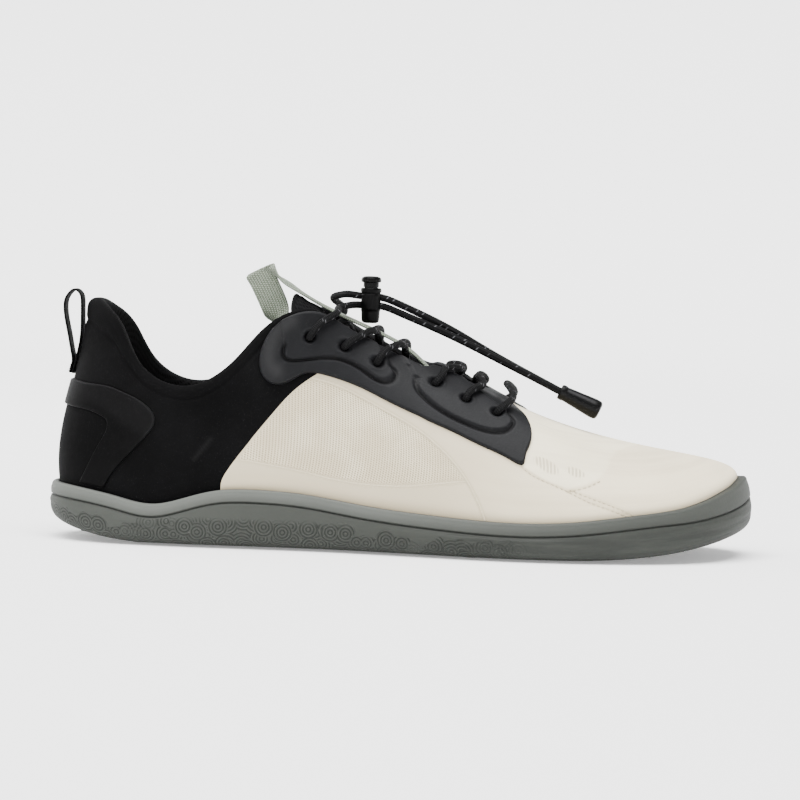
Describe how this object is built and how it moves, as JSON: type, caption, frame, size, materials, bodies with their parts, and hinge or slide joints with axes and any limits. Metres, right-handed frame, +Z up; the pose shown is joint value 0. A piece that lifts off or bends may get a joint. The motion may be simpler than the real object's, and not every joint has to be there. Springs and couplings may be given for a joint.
{
  "type": "barefoot shoe",
  "caption": "Low right shoe with a thin flexible cup sole, a moulded eyestay, elastic cord lacing with a sprung cord lock, and pull loops at the heel and tongue.",
  "frame": {"origin": "middle of the box's bottom, on the ground below the shoe", "axes": "+X to the toe, +Z up, lateral side at -Y and medial side at +Y, so it is a right shoe"},
  "size_m": [0.284, 0.106, 0.1116],
  "materials": {
    "sole_rubber": "matte grey-green moulded rubber",
    "insole_foam": "dark textile-covered foam",
    "upper_textile": "ivory knit front with a smooth film, matte black rear quarter",
    "eyestay_film": "moulded charcoal overlay, satin",
    "counter_film": "thin black welded film",
    "tongue_textile": "black padded textile",
    "strap_webbing": "sage-grey woven webbing",
    "loop_tape": "thin black woven tape",
    "lace_elastic": "black elastic cord with pale flecks",
    "lock_plastic": "black moulded plastic",
    "button_plastic": "black moulded plastic",
    "end_plastic": "black rubber, satin"
  },
  "bodies": {
    "shoe": {"sole": "sole_rubber", "insole": "insole_foam", "upper": "upper_textile", "eyestay": "eyestay_film", "heel_counter": "counter_film", "tongue": "tongue_textile", "tongue_strap": "strap_webbing", "heel_loop": "loop_tape", "lace_crossing_1": "lace_elastic", "lace_crossing_2": "lace_elastic", "lace_crossing_3": "lace_elastic", "lace_crossing_4": "lace_elastic", "lace_crossing_5": "lace_elastic", "lace_bar": "lace_elastic", "cord_lateral": "lace_elastic", "cord_medial": "lace_elastic", "lock_barrel": "lock_plastic", "cord_end": "end_plastic"},
    "lock_button": {"lock_button": "button_plastic"}
  },
  "joints": [
    {"name": "button_press", "type": "slide", "parent": "shoe", "child": "lock_button", "axis": [0, 0, -1], "range_m": [0, 0.002], "stiffness_N_per_m": 1000}
  ]
}
